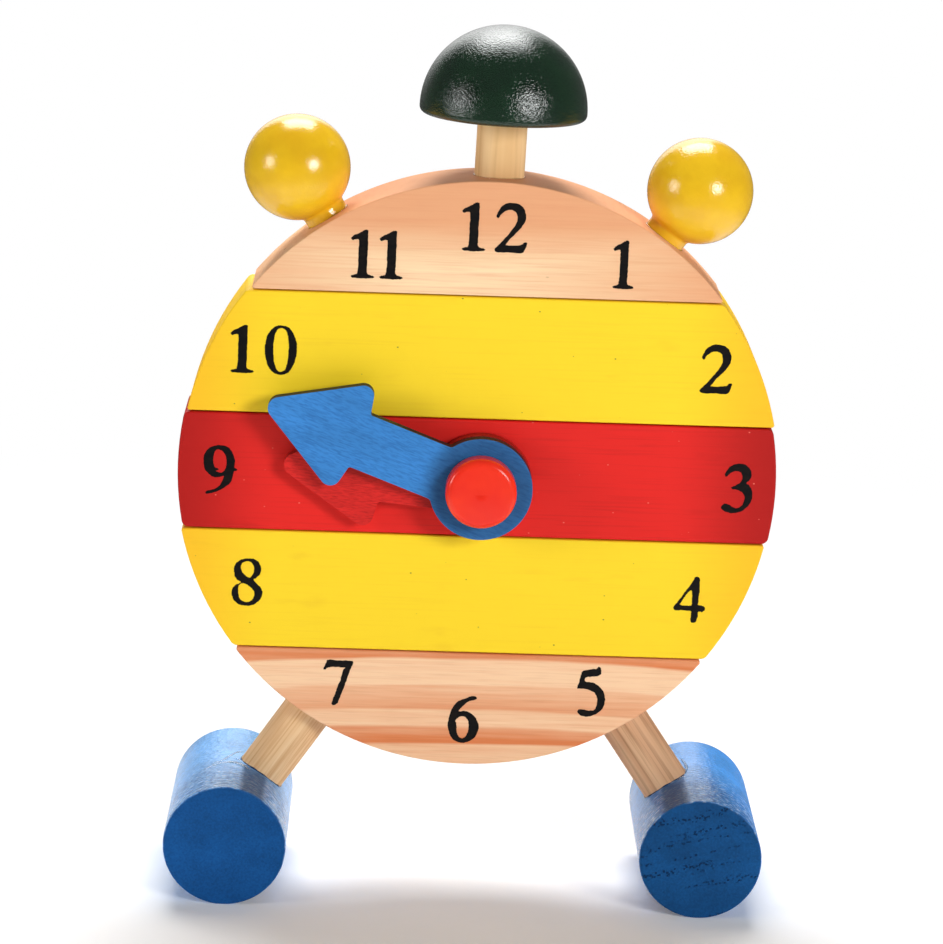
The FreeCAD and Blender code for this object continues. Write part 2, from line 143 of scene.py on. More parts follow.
def add_piece(
    name: str, points: np.ndarray, faces: list, material: Material, body: Body, smooth: bool = True
) -> bpy.types.Object:
    """Makes a new piece from a finished surface and lets it ride on a body.

    Args:
        name: the piece's name.
        points: its points in millimetres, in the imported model's frame, one row each.
        faces: its faces as point numbers, which run anticlockwise seen from outside.
        material: its finish.
        body: the body that carries it.
        smooth: whether its faces shade as one curved surface.

    Returns:
        The new object, which sits at the origin with its place in its mesh.
    """
    mesh = bpy.data.meshes.new(name)
    mesh.from_pydata((np.asarray(points) * MM).tolist(), [], faces)
    mesh.polygons.foreach_set("use_smooth", np.full(len(mesh.polygons), smooth))
    mesh.materials.append(material)
    mesh.update()
    piece = bpy.data.objects.new(name, mesh)
    bpy.context.scene.collection.objects.link(piece)
    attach(piece, body.value)
    log.info("%s rides on %s with %d faces", name, body.value, len(mesh.polygons))
    return piece


def bead(
    path: np.ndarray, side: np.ndarray, out: np.ndarray, width: np.ndarray, height: np.ndarray, closed: bool
) -> tuple[np.ndarray, list]:
    """Lays a bead of glue along a path as a surface of two parameters.

    With s along the path and t round the bead, each point is path(s) + width(s) cos(t) side(s)
    + height(s) sin(t) out(s). An open bead is closed by a face at each end.

    Args:
        path: the bead's middle line in millimetres, one row a point.
        side: unit vectors across the bead, along what it lies on.
        out: unit vectors away from what it lies on.
        width: half of the bead's width at each point.
        height: how far it stands out at each point.
        closed: whether the last point joins the first one again.

    Returns:
        The points and the faces.
    """
    turn = np.linspace(0.0, 2 * pi, 16, endpoint=False)
    across = (width[:, None] * np.cos(turn))[..., None] * side[:, None]
    away = (height[:, None] * np.sin(turn))[..., None] * out[:, None]
    points = (path[:, None] + across + away).reshape(-1, 3)
    rows, columns = len(path), len(turn)
    row, column = np.meshgrid(np.arange(rows if closed else rows - 1), np.arange(columns), indexing="ij")
    next_row, next_column = (row + 1) % rows, (column + 1) % columns
    corners = [row * columns + column, row * columns + next_column]
    corners += [next_row * columns + next_column, next_row * columns + column]
    faces = np.stack(corners, axis=-1).reshape(-1, 4).tolist()
    if not closed:
        ring = list(range(columns))
        faces += [ring[::-1], [number + (rows - 1) * columns for number in ring]]
    # The faces look outwards where side x out points ahead along the path.
    ahead = np.roll(path, -1, axis=0)[0] - path[0]
    if np.dot(np.cross(side[0], out[0]), ahead) < 0:
        faces = [face[::-1] for face in faces]
    return points, faces


def unit(vectors: np.ndarray) -> np.ndarray:
    """Scales each row to a length of 1."""
    return vectors / np.linalg.norm(vectors, axis=-1, keepdims=True)


def wobble(turn: np.ndarray, seed: int, waves: tuple[int, ...]) -> np.ndarray:
    """Adds up sine waves round a closed path, each with its own chance phase and strength.

    Args:
        turn: the place on the path, from 0 to 2 pi.
        seed: picks the phases and strengths.
        waves: how many times each sine goes up and down along the path.

    Returns:
        One value for each place, mostly between -1 and 1.
    """
    chance = np.random.default_rng(seed)
    phases = chance.uniform(0.0, 2 * pi, len(waves))
    strengths = chance.uniform(0.4, 1.0, len(waves))
    sines = np.sin(np.multiply.outer(turn, np.array(waves)) + phases)
    return sines @ strengths / sqrt(len(waves))


# Finishes


@dataclass(frozen=True)
class Finish:
    """What every finish has: a name that says the real material and how its surface was made."""

    name: str

    def open(self) -> tuple[Material, Tree, Socket]:
        """Starts the material.

        Returns:
            The material, its empty tree, and the object's own coordinates in metres.
        """
        material = bpy.data.materials.new(self.name)
        material.use_nodes = True
        tree = material.node_tree
        tree.nodes.clear()
        return material, tree, add(tree, "TexCoord").outputs["Object"]

    def streaks(
        self, tree: Tree, place: Socket, size: Triple, turn: float = 0.0, detail: float = 2.0,
        shift: float = 0.0,
    ) -> Node:
        """Makes a cloudy pattern whose clouds have a real size, longer one way where they are fibres.

        Args:
            tree: the material's tree.
            place: the coordinates to read.
            size: a cloud's length, depth and height in millimetres.
            turn: how far the clouds are turned about the y axis, in degrees.
            detail: how many finer patterns lie over it.
            shift: how far to move along the pattern in millimetres, so that two pieces differ.

        Returns:
            The noise node, from 0 to 1 and 0.5 on average.
        """
        moved, turned = metres(shift, shift, shift), (0, radians(turn), 0)
        grid = add(tree, "Mapping", place, moved, turned, metres(*size), vector_type="TEXTURE")
        return add(tree, "TexNoise", grid, Scale=1.0, Detail=detail)

    def spots(
        self, tree: Tree, place: Socket, spacing: Triple, radius: float, share: float, turn: float = 0.0
    ) -> Node:
        """Scatters spots, such as pores and flecks.

        Args:
            tree: the material's tree.
            place: the coordinates to read.
            spacing: how far apart the places for a spot are, in millimetres along each axis.
            radius: a spot's radius as a share of the spacing.
            share: how many of the places hold a spot, from 0 to 1.
            turn: how far the rows are turned about the y axis, in degrees.

        Returns:
            A node that is 1 in a spot and 0 outside.
        """
        turned = (0, radians(turn), 0)
        grid = add(tree, "Mapping", place, Rotation=turned, Scale=metres(*spacing), vector_type="TEXTURE")
        cells = add(tree, "TexVoronoi", grid, Scale=1.0).outputs
        inside = add(tree, "MapRange", cells["Distance"], radius, radius * 0.5)
        lot = add(tree, "SeparateColor", cells["Color"]).outputs["Red"]
        drawn = add(tree, "Math", lot, share, operation="LESS_THAN")
        return add(tree, "Math", inside, drawn, operation="MULTIPLY")

    def tint(
        self, tree: Tree, under: Node | str, over: str, pattern: Node, low: float, high: float,
        share: float = 1.0,
    ) -> Node:
        """Lays one colour over another where a pattern says so.

        Args:
            tree: the material's tree.
            under: the colour so far.
            over: the colour to lay over it.
            pattern: tells where.
            low: the pattern's value from which the colour starts to show.
            high: the pattern's value where it is at its full share.
            share: how much of it shows there, from 0 to 1.

        Returns:
            The mixed colour.
        """
        amount = add(tree, "MapRange", pattern, low, high, 0.0, share)
        return add(tree, "Mix", amount, under, over, data_type="RGBA")

    def close(
        self, tree: Tree, colour: Node, height: Node, strength: float, depth: float, **inputs: object
    ) -> None:
        """Ends the material with its relief and its shader.

        Args:
            tree: the material's tree.
            colour: the node that works out the base colour.
            height: the pattern that stands out, or lies deep where it is 0.
            strength: how strongly the relief shows.
            depth: how deep it is in millimetres.
            inputs: what goes into the shader's other inputs, by their shown names.
        """
        relief = add(tree, "Bump", Strength=strength, Distance=depth * MM, Height=height)
        if "Coat_Weight" in inputs:
            inputs["Coat_Normal"] = relief
        shader = add(tree, "BsdfPrincipled", colour, Normal=relief, **inputs)
        add(tree, "OutputMaterial", shader)


@dataclass(frozen=True)
class BandedPine(Finish):
    """Pine, flat sawn and sanded, left bare.

    The eye sees broad bands of pale early wood and red-brown late wood that lie along the slat, bow up a
    little in the middle, and end sharply at each year's last growth, with fine fibres over all of it.
    """

    early: str = "FCD2A9"
    late: str = "E0824F"
    fibre: str = "B4683F"
    sawn_edge: float = 51.0  # height of the slat's upper edge, mm
    board: float = 24.0  # height of the board that the bands are listed for, mm
    middle: float = 5.0  # x of the place where the bands are highest, mm
    bow: float = 0.9  # how far a band sinks at 35 mm from there, mm
    wave: float = 1.5  # how far a band strays up and down, mm
    climb: float = -1 / 6  # how fast the bands climb towards the back, as a board's rings do
    half: float = 9.0  # half of the slat's thickness, mm
    bands: tuple = (
        (0.0, 0.82), (1.0, 0.92), (1.6, 0.1), (4.0, 0.0), (6.5, 0.06), (7.0, 0.36), (9.4, 0.42),
        (11.6, 0.66), (12.1, 0.2), (15.2, 0.16), (15.9, 0.72), (18.8, 1.0), (19.4, 0.26), (24.0, 0.18),
    )  # depth below the upper edge in mm, and the share of late wood there

    def build(self) -> Material:
        """Builds the material: the depth below a bowed and slightly wavy line picks the band."""
        material, tree, place = self.open()
        at = add(tree, "SeparateXYZ", place).outputs
        off = add(tree, "Math", at["X"], self.middle * MM, operation="SUBTRACT")
        square = add(tree, "Math", off, off, operation="MULTIPLY")
        bowed = add(tree, "Math", square, self.bow / 35**2 / MM, at["Z"], operation="MULTIPLY_ADD")
        slanted = add(tree, "Math", at["Y"], self.climb, bowed, operation="MULTIPLY_ADD")
        wave = self.streaks(tree, place, (28, 30, 7))
        waved = add(tree, "Math", wave, self.wave * MM, slanted, operation="MULTIPLY_ADD")
        upper = (self.sawn_edge + self.wave / 2 - self.half * self.climb) * MM
        depth = add(tree, "MapRange", waved, upper, upper - self.board * MM)
        stops = tuple((mm / self.board, share) for mm, share in self.bands)
        band = add(tree, "ValToRGB", depth, stops=stops)
        broad = self.streaks(tree, place, (24, 4, 0.9))
        uneven = add(tree, "MapRange", broad, 0.3, 0.7, -0.13, 0.13)
        share = add(tree, "Math", band, uneven, operation="ADD", use_clamp=True)
        wood = add(tree, "Mix", share, self.early, self.late, data_type="RGBA")
        # Fibres are 0.05 mm wide. They are drawn 0.3 mm wide, which is as fine as shows from here.
        fibres = self.streaks(tree, place, (9, 1, 0.3), detail=3.0)
        colour = self.tint(tree, wood, self.fibre, fibres, 0.5, 0.8, 0.22)
        self.close(tree, colour, fibres, 0.35, 0.06, Roughness=0.65, Specular_IOR_Level=0.2)
        return material


@dataclass(frozen=True)
class BareWood(Finish):
    """Close-grained pale wood, sanded or turned, left bare.

    The eye sees thin darker streaks along the grain, broad faint clouds of a warmer tone and a few dark
    flecks.
    """

    pale: str
    warm: str
    streak: str
    grain: Triple  # a streak's length, depth and height, mm
    turn: float = 0.0  # how far the grain is turned about the y axis, degrees
    contrast: float = 0.5
    flecks: float = 0.003  # share of the places for a fleck that hold one
    ends: str | None = None  # a deeper tone towards the piece's ends and top, where it has one
    palest: tuple[float, float] = (-5.0, 128.0)  # x and height of the palest place, mm
    steep: float = 5.0  # how much faster the tone deepens upwards than sideways

    def build(self) -> Material:
        """Builds the material: clouds pick the warm tone, then the ends, streaks and flecks darken it."""
        material, tree, place = self.open()
        tall = tuple(4.0 * size for size in self.grain)
        clouds = self.streaks(tree, place, tall, self.turn, shift=31.0)
        wood = self.tint(tree, self.pale, self.warm, clouds, 0.36, 0.66)
        if self.ends:
            at = add(tree, "SeparateXYZ", place).outputs
            off = add(tree, "Math", at["X"], self.palest[0] * MM, operation="SUBTRACT")
            off = add(tree, "Math", off, operation="ABSOLUTE")
            rise = add(tree, "Math", at["Z"], self.palest[1] * MM, operation="SUBTRACT")
            rise = add(tree, "Math", rise, self.steep, operation="MULTIPLY")
            off = add(tree, "Math", off, rise, operation="MAXIMUM")
            wood = self.tint(tree, wood, self.ends, off, 8 * MM, 55 * MM, 0.85)
        streaks = self.streaks(tree, place, self.grain, self.turn, detail=4.0, shift=7.0)
        wood = self.tint(tree, wood, self.streak, streaks, 0.47, 0.74, self.contrast)
        # Flecks are cut-open pores, about 0.5 mm wide and twice as long along the grain.
        spacing = tuple(2.6 if size > 10 else 1.1 for size in self.grain)
        flecks = self.spots(tree, place, spacing, 0.3, self.flecks, self.turn)
        colour = add(tree, "Mix", flecks, wood, "8A5A36", data_type="RGBA")
        self.close(tree, colour, streaks, 0.4, 0.06, Roughness=0.65, Specular_IOR_Level=0.2)
        return material


@dataclass(frozen=True)
class SlatPaint(Finish):
    """Water-based paint brushed thin on a sawn wooden slat.

    The eye sees a strong even colour, faint grain lines under it, small specks, faint smudges from
    handling, and bare wood where a bore was drilled through the paint. Towards the slat's ends the colour
    deepens into a painted shade.
    """

    body: str  # the paint's colour on the face
    ends: str  # a painted shade: the colour towards the slat's ends
    grain: str  # the colour of the grain lines and smudges
    speck: str
    grain_share: float = 0.12
    speck_share: float = 0.02
    smudge: float = 0.2
    shift: float = 0.0  # moves the patterns, so that two slats differ, mm
    pillars: float = 15.0  # how far each pillar's axis is from the middle, mm
    bore: float = 4.25  # radius inside which the wood is bare, mm

    def build(self) -> Material:
        """Builds the material from the body colour outwards: painted shade at the ends, grain, smudges,
        specks, bores.
        """
        material, tree, place = self.open()
        at = add(tree, "SeparateXYZ", place).outputs
        reach = add(tree, "Math", at["X"], operation="ABSOLUTE")
        # Painted shade: the paint deepens towards the slat's ends.
        outer = add(tree, "MapRange", reach, 38 * MM, 60 * MM, interpolation_type="SMOOTHSTEP")
        paint = add(tree, "Mix", outer, self.body, self.ends, data_type="RGBA")
        fibres = self.streaks(tree, place, (20, 3, 0.5), detail=3.0, shift=self.shift)
        paint = self.tint(tree, paint, self.grain, fibres, 0.52, 0.76, self.grain_share)
        clouds = self.streaks(tree, place, (14, 9, 4), detail=3.0, shift=self.shift + 50.0)
        paint = self.tint(tree, paint, self.grain, clouds, 0.63, 0.78, self.smudge)
        moved = add(tree, "VectorMath", place, metres(self.shift, 0, self.shift), operation="ADD")
        specks = self.spots(tree, moved, (1.4, 1.4, 1.0), 0.17, self.speck_share)
        paint = add(tree, "Mix", specks, paint, self.speck, data_type="RGBA")
        sideways = add(tree, "Math", reach, self.pillars * MM, operation="SUBTRACT")
        away = add(tree, "VectorMath", add(tree, "CombineXYZ", sideways, at["Y"]), operation="LENGTH")
        inside = add(tree, "Math", away, self.bore * MM, operation="LESS_THAN")
        colour = add(tree, "Mix", inside, paint, "E9BE8D", data_type="RGBA")
        self.close(tree, colour, fibres, 0.3, 0.05, Roughness=0.55, Specular_IOR_Level=0.2)
        return material


@dataclass(frozen=True)
class FootPaint(Finish):
    """Blue paint on a turned beech cylinder.

    The eye sees dark blue on the sawn ends, where the end grain soaks the paint up and leaves rows of
    pores, and a lighter, glossier blue on the turned side, with short tool marks round it. Painted shade
    in the marks' grooves and painted glints on their crests stand for the light they catch, and a dark
    painted reflection of the leg lies before it.
    """

    side: Side
    axis: float  # distance of the cylinder's axis from the middle, mm
    end_face: float  # how far forward and back the ends lie, mm
    soaked: str  # the colour of the ends
    turned: str  # the colour of the turned side
    pores: float  # share of the places for a pore that hold one
    outer_gloss: float  # share of the gloss that is left on the flank away from the middle
    pore: str = "0C2C54"
    trough: str = "1E5FB2"  # painted shade: the colour in the tool marks' grooves
    painted_crest_glint: str = "CFE2FA"  # painted glint: the colour on the tool marks' crests
    painted_leg_reflection: str = "24466E"  # painted reflection: the dark colour of the leg's shaded underside, seen in the paint before the leg
    ring_turn: float = -15.0  # slant of the year rings, degrees
    stain: float = 5.3  # how far towards the middle the painted reflection of the leg lies, mm

    def build(self) -> Material:
        """Builds the material: the depth along the axis tells the ends from the turned side."""
        material, tree, place = self.open()
        at = add(tree, "SeparateXYZ", place).outputs
        deep = add(tree, "Math", at["Y"], operation="ABSOLUTE")
        end = add(tree, "MapRange", deep, (self.end_face - 0.45) * MM, (self.end_face - 0.1) * MM)
        clouds = self.streaks(tree, place, (7, 7, 7), detail=3.0, shift=self.axis * self.side.value)
        mottle = add(tree, "MapRange", clouds, 0.3, 0.7, 0.84, 1.12)
        grains = self.streaks(tree, place, (0.4, 0.4, 0.4), detail=2.0)
        fine = add(tree, "MapRange", grains, 0.3, 0.7, 0.86, 1.14)
        mottle = add(tree, "Math", mottle, fine, operation="MULTIPLY")
        # Pores stand in rows along the year rings, which are 3 mm apart and slant a little.
        spots = self.spots(tree, place, (0.62, 3.0, 0.5), 0.45, self.pores, self.ring_turn)
        rings = self.streaks(tree, place, (30, 60, 1.6), self.ring_turn, detail=1.0, shift=12.0)
        rows = add(tree, "MapRange", rings, 0.525, 0.62, 0.0, 0.8)
        dots = add(tree, "Math", spots, rows, operation="MULTIPLY")
        face = add(tree, "Mix", dots, self.soaked, self.pore, data_type="RGBA")
        # Tool marks run round the cylinder: short along its axis and long across it. Painted shade in their
        # grooves and painted glints on their crests grow stronger towards the front.
        marks = self.streaks(tree, place, (1.2, 0.5, 1.2), detail=2.0, shift=5.0)
        front = add(tree, "MapRange", at["Y"], 2 * MM, -13 * MM)
        front_strength = add(tree, "MapRange", front, To_Min=0.15, To_Max=0.8)
        # Painted shade: a darker blue in the tool marks' grooves.
        groove_shade_share = add(tree, "Math", add(tree, "MapRange", marks, 0.46, 0.62), front_strength, operation="MULTIPLY")
        flank = add(tree, "Mix", groove_shade_share, self.turned, self.trough, data_type="RGBA")
        # Painted glints: a pale blue on the tool marks' crests.
        bright = add(tree, "MapRange", marks, 0.44, 0.34, 0.0, 0.7)
        bright = add(tree, "Math", bright, front, operation="MULTIPLY")
        flank = add(tree, "Mix", bright, flank, self.painted_crest_glint, data_type="RGBA")
        # Painted reflection: before the leg the paint is darkened where it would mirror the leg's shaded
        # underside, and its shine is weaker there.
        inner = add(tree, "Math", at["X"], operation="ABSOLUTE")
        inner = add(tree, "Math", self.axis * MM, inner, operation="SUBTRACT")
        off = add(tree, "Math", inner, self.stain * MM, operation="SUBTRACT")
        off = add(tree, "Math", off, operation="ABSOLUTE")
        painted_leg_reflection = add(tree, "MapRange", off, 3.2 * MM, 1.6 * MM, interpolation_type="SMOOTHSTEP")
        before = add(tree, "MapRange", at["Y"], -3 * MM, -6 * MM)
        painted_leg_reflection = add(tree, "Math", painted_leg_reflection, before, operation="MULTIPLY")
        share = add(tree, "Math", painted_leg_reflection, 0.75, operation="MULTIPLY")
        flank = add(tree, "Mix", share, flank, self.painted_leg_reflection, data_type="RGBA")
        paint = add(tree, "Mix", end, flank, face, data_type="RGBA")
        colour = add(tree, "Mix", 1.0, paint, mottle, data_type="RGBA", blend_type="MULTIPLY")
        # The shine is on the turned side only, and weaker on its outer flank and on the painted reflection
        # of the leg.
        outer = add(tree, "MapRange", inner, -1 * MM, -8 * MM, 1.0, self.outer_gloss)
        shine = add(tree, "MapRange", end, To_Min=1.0, To_Max=0.0)
        shine = add(tree, "Math", shine, outer, operation="MULTIPLY")
        dull = add(tree, "MapRange", painted_leg_reflection, To_Min=1.0, To_Max=0.35)
        shine = add(tree, "Math", shine, dull, operation="MULTIPLY")
        height = add(tree, "Mix", end, marks, dots, data_type="FLOAT")
        coat = {"Coat_Weight": shine, "Coat_Roughness": 0.2}
        self.close(tree, colour, height, 1.0, 0.4, Roughness=0.6, Specular_IOR_Level=0.1, **coat)
        return material


@dataclass(frozen=True)
class GlossLacquer(Finish):
    """Coloured lacquer dipped on turned wood.

    The eye sees a deep even colour under a hard shine, whose reflections break up on fine orange peel and
    on the raised grain below.
    """

    body: str
    shade: str
    peel: float  # size of one orange peel dimple, mm
    relief: float  # depth of the dimples, mm
    roughness: float
    gloss: float  # strength of the mirror part, where 0.5 is plain lacquer
    bare_from: float | None = None  # depth from which the piece is bare wood, mm

    def build(self) -> Material:
        """Builds the material: one colour, faintly clouded, with dimples in its relief."""
        material, tree, place = self.open()
        clouds = self.streaks(tree, place, (6, 6, 6), detail=2.0)
        colour = self.tint(tree, self.body, self.shade, clouds, 0.35, 0.7)
        if self.bare_from is not None:
            at = add(tree, "SeparateXYZ", place).outputs
            behind = add(tree, "Math", at["Y"], self.bare_from * MM, operation="GREATER_THAN")
            colour = add(tree, "Mix", behind, colour, "E3B98A", data_type="RGBA")
        dimples = self.streaks(tree, place, (self.peel, self.peel, self.peel), detail=1.0)
        gloss = {"Roughness": self.roughness, "Specular_IOR_Level": self.gloss}
        self.close(tree, colour, dimples, 1.0, self.relief, **gloss)
        return material


@dataclass(frozen=True)
class StainedPly(Finish):
    """Thin plywood, stained through its face veneer and cut out by heat.

    The eye sees a flat stained colour with short darker fibres along the hand, and edges charred dark
    brown.
    """

    stain: str
    fibre: str
    edge: str
    point: float  # where the hand points, clockwise from twelve, degrees
    front: float  # depth of the front face, mm
    back: float  # depth of the back face, mm
    share: float = 0.7  # how strongly the fibres show
    hub_dimmed: float = 0.5  # brightness that is left on the hub
    hub: tuple[float, float] = (1.2, 86.7)  # x and height of the hub's middle, mm

    def build(self) -> Material:
        """Builds the material: fibres run along the hand, and any depth between the faces is edge."""
        material, tree, place = self.open()
        along = self.point + 90.0
        fibres = self.streaks(tree, place, (1.7, 3.0, 0.3), along, detail=4.0)
        stained = self.tint(tree, self.stain, self.fibre, fibres, 0.42, 0.68, self.share)
        clouds = self.streaks(tree, place, (16, 10, 5), along, shift=9.0)
        soft = add(tree, "MapRange", clouds, 0.3, 0.7, 0.88, 1.1)
        # The hub is darker.
        about = add(tree, "VectorMath", place, metres(self.hub[0], 0, self.hub[1]), operation="SUBTRACT")
        flat = add(tree, "VectorMath", about, (1.0, 0.0, 1.0), operation="MULTIPLY")
        away = add(tree, "VectorMath", flat, operation="LENGTH")
        hub_dimmed = add(tree, "MapRange", away, 9 * MM, 13 * MM, self.hub_dimmed, interpolation_type="SMOOTHSTEP")
        soft = add(tree, "Math", soft, hub_dimmed, operation="MULTIPLY")
        shaded = add(tree, "Mix", 1.0, stained, soft, data_type="RGBA", blend_type="MULTIPLY")
        deep = add(tree, "SeparateXYZ", place).outputs["Y"]
        deep = add(tree, "Math", deep, 0.5 * (self.front + self.back) * MM, operation="SUBTRACT")
        deep = add(tree, "Math", deep, operation="ABSOLUTE")
        half = 0.5 * abs(self.back - self.front) * MM
        colour = self.tint(tree, shaded, self.edge, deep, half - 0.02 * MM, half - 0.06 * MM)
        self.close(tree, colour, fibres, 0.7, 0.1, Roughness=0.5, Specular_IOR_Level=0.2)
        return material


@dataclass(frozen=True)
class ScreenInk(Finish):
    """Black ink, screen printed.

    The eye sees a nearly even black with a faint brown where the wood shows through, and a dull shine.
    """

    def build(self) -> Material:
        """Builds the material: two blacks, clouded."""
        material, tree, place = self.open()
        clouds = self.streaks(tree, place, (1.6, 1.6, 0.7), detail=3.0)
        colour = self.tint(tree, "07070A", "16110D", clouds, 0.4, 0.75)
        self.close(tree, colour, clouds, 0.3, 0.02, Roughness=0.55, Specular_IOR_Level=0.15)
        return material


@dataclass(frozen=True)
class DriedGlue(Finish):
    """Wood glue, squeezed out and dried.

    The eye sees what lies under it, sharp white glints on its lumps, and its own colour where it is thick.
    """

    thin: str = "FFFDF6"
    thick: str = "F6EBD2"
    clear: float = 0.95

    def build(self) -> Material:
        """Builds the material: two tones of the glue, with a lumpy relief."""
        material, tree, place = self.open()
        lumps = self.streaks(tree, place, (0.9, 0.9, 0.9), detail=2.0)
        colour = self.tint(tree, self.thin, self.thick, lumps, 0.35, 0.7)
        self.close(tree, colour, lumps, 0.8, 0.15, Roughness=0.14, IOR=1.47, Transmission_Weight=self.clear)
        return material


# Numerals

# Each digit as closed outlines in steps of 0.05 mm from its middle, as x to the right and z up in turn: the
# outer one first, then its holes. A smooth curve goes through the points.
DIGITS: dict[str, tuple[tuple[int, ...], ...]] = {
    "0": (
        (-2, 100, 21, 97, 39, 83, 53, 59, 62, 32, 64, 3, 61, -24, 53, -54, 40, -79, 23, -95, 2, -100, -19,
         -96, -39, -82, -53, -57, -61, -28, -64, -1, -62, 28, -56, 55, -43, 78, -23, 96),
        (0, 89, 14, 85, 25, 65, 30, 36, 31, 2, 29, -30, 25, -57, 18, -78, 2, -88, -13, -81, -23, -59, -28,
         -32, -30, 0, -29, 34, -24, 63, -14, 84),
    ),
    "1": (
        (-47, 64, -33, 76, -16, 84, -1, 93, 10, 98, 18, 96, 20, 90, 20, 69, 20, 42, 19, 6, 19, -29, 18,
         -56, 18, -70, 22, -80, 33, -84, 43, -86, 47, -91, 43, -95, 25, -97, 3, -98, -23, -97, -39, -95,
         -45, -90, -42, -86, -30, -83, -22, -80, -19, -71, -17, -48, -17, -17, -16, 19, -16, 47, -18, 58,
         -25, 59, -34, 57, -41, 55, -46, 59),
    ),
    "2": (
        (-54, 37, -61, 45, -59, 53, -53, 66, -45, 81, -30, 94, -13, 100, 5, 100, 27, 95, 43, 83, 52, 67,
         56, 52, 56, 37, 50, 21, 41, 7, 29, -9, 14, -25, -3, -43, -13, -57, -21, -69, -15, -70, 2, -71, 24,
         -69, 38, -67, 46, -63, 52, -57, 59, -56, 64, -60, 61, -72, 56, -86, 50, -96, 39, -100, 12, -99,
         -14, -98, -40, -100, -56, -98, -64, -92, -62, -83, -50, -71, -38, -58, -25, -42, -12, -26, 0, -10,
         13, 8, 21, 26, 22, 44, 17, 60, 8, 68, -5, 72, -20, 70, -33, 62, -44, 52, -49, 42),
    ),
    "3": (
        (-54, 55, -49, 66, -39, 83, -24, 96, -4, 102, 16, 101, 34, 93, 46, 81, 53, 65, 52, 47, 44, 33, 34,
         23, 43, 15, 54, 1, 60, -15, 61, -33, 57, -49, 47, -68, 32, -85, 15, -96, -7, -102, -30, -102, -50,
         -95, -61, -85, -60, -74, -52, -65, -41, -64, -29, -70, -18, -77, -4, -82, 11, -78, 22, -67, 28,
         -50, 29, -34, 22, -18, 8, -9, -8, -5, -21, -4, -26, 2, -20, 7, -4, 15, 9, 24, 16, 36, 16, 50, 10,
         64, 0, 71, -14, 71, -27, 65, -38, 55, -45, 48, -51, 48),
    ),
    "4": (
        (29, 96, 35, 92, 38, 80, 37, 53, 39, 36, 37, 20, 35, -3, 35, -21, 49, -23, 60, -28, 64, -36, 59,
         -44, 52, -51, 44, -49, 36, -50, 36, -64, 32, -82, 27, -94, 17, -96, 8, -92, 6, -79, 8, -60, 7,
         -48, -9, -46, -36, -45, -54, -47, -62, -41, -64, -32, -55, -18, -40, 1, -26, 23, -13, 42, 2, 65,
         14, 88, 22, 96),
        (6, 38, 9, 24, 9, 1, 8, -23, -10, -25, -28, -25, -39, -21, -33, -10, -21, 11, -8, 30, 1, 38),
    ),
    "5": (
        (35, 100, 38, 90, 36, 76, 27, 68, 11, 65, -7, 63, -22, 60, -27, 53, -26, 42, -10, 40, 13, 36, 33,
         22, 48, 4, 56, -17, 57, -36, 53, -59, 40, -81, 20, -96, -4, -104, -27, -105, -43, -99, -52, -90,
         -52, -81, -44, -75, -28, -77, -10, -80, 8, -79, 19, -70, 25, -53, 26, -34, 21, -16, 10, -2, -9, 7,
         -32, 11, -51, 12, -57, 13, -56, 24, -51, 41, -46, 60, -42, 78, -37, 86, -21, 91, 1, 95, 19, 99, 25,
         105, 31, 104),
    ),
    "6": (
        (51, 94, 52, 89, 42, 84, 24, 78, 9, 69, -4, 56, -15, 44, -20, 35, -10, 34, 5, 35, 26, 29, 45, 13,
         56, -5, 63, -26, 61, -47, 52, -69, 34, -87, 12, -98, -10, -99, -33, -91, -50, -72, -59, -51, -63,
         -28, -61, -4, -55, 24, -45, 50, -30, 70, -12, 82, 10, 91, 28, 98, 42, 99),
        (-5, 13, 8, 9, 18, -4, 22, -25, 20, -49, 13, -68, 0, -80, -11, -78, -21, -67, -26, -50, -27, -31,
         -29, -16, -33, -8, -25, 4, -14, 11),
    ),
    "7": (
        (-42, 95, -19, 95, 8, 94, 39, 94, 58, 92, 60, 84, 54, 66, 45, 43, 37, 19, 31, -5, 22, -29, 14, -52,
         6, -74, 0, -88, -10, -95, -19, -94, -23, -86, -17, -67, -11, -51, -5, -32, 2, -10, 10, 11, 16, 35,
         22, 56, 28, 64, 9, 65, -14, 66, -32, 65, -43, 61, -50, 55, -57, 54, -60, 58, -54, 70, -48, 88),
    ),
    "8": (
        (0, 98, 23, 98, 41, 89, 52, 71, 56, 53, 51, 34, 38, 20, 26, 12, 34, 1, 52, -17, 62, -35, 61, -56,
         51, -75, 34, -89, 14, -97, -9, -98, -31, -93, -50, -78, -59, -60, -62, -43, -57, -27, -46, -13,
         -31, -5, -25, 0, -38, 8, -49, 22, -53, 40, -53, 59, -46, 77, -31, 90, -13, 97),
        (3, 87, 16, 82, 26, 66, 27, 47, 20, 29, 9, 19, -5, 26, -18, 39, -25, 55, -25, 71, -15, 83),
        (-15, -5, -2, -9, 16, -22, 29, -38, 30, -54, 22, -73, 4, -83, -11, -81, -26, -72, -33, -54, -35,
         -36, -34, -19, -26, -8),
    ),
    "9": (
        (5, 100, 23, 98, 41, 88, 55, 66, 62, 43, 62, 21, 62, 11, 68, 6, 73, 1, 67, -3, 60, -6, 56, -25, 48,
         -48, 31, -67, 9, -82, -14, -92, -36, -99, -49, -100, -53, -95, -49, -89, -31, -85, -14, -78, 2,
         -66, 12, -50, 18, -34, 20, -25, 8, -29, -10, -32, -30, -26, -46, -13, -58, 3, -62, 26, -62, 49,
         -54, 72, -39, 90, -17, 98),
        (-8, 83, 10, 78, 23, 63, 29, 42, 29, 20, 23, -1, 9, -12, -6, -9, -12, -5, -1, 0, -7, 6, -15, 8,
         -22, 23, -24, 41, -22, 61, -17, 75),
    ),
}


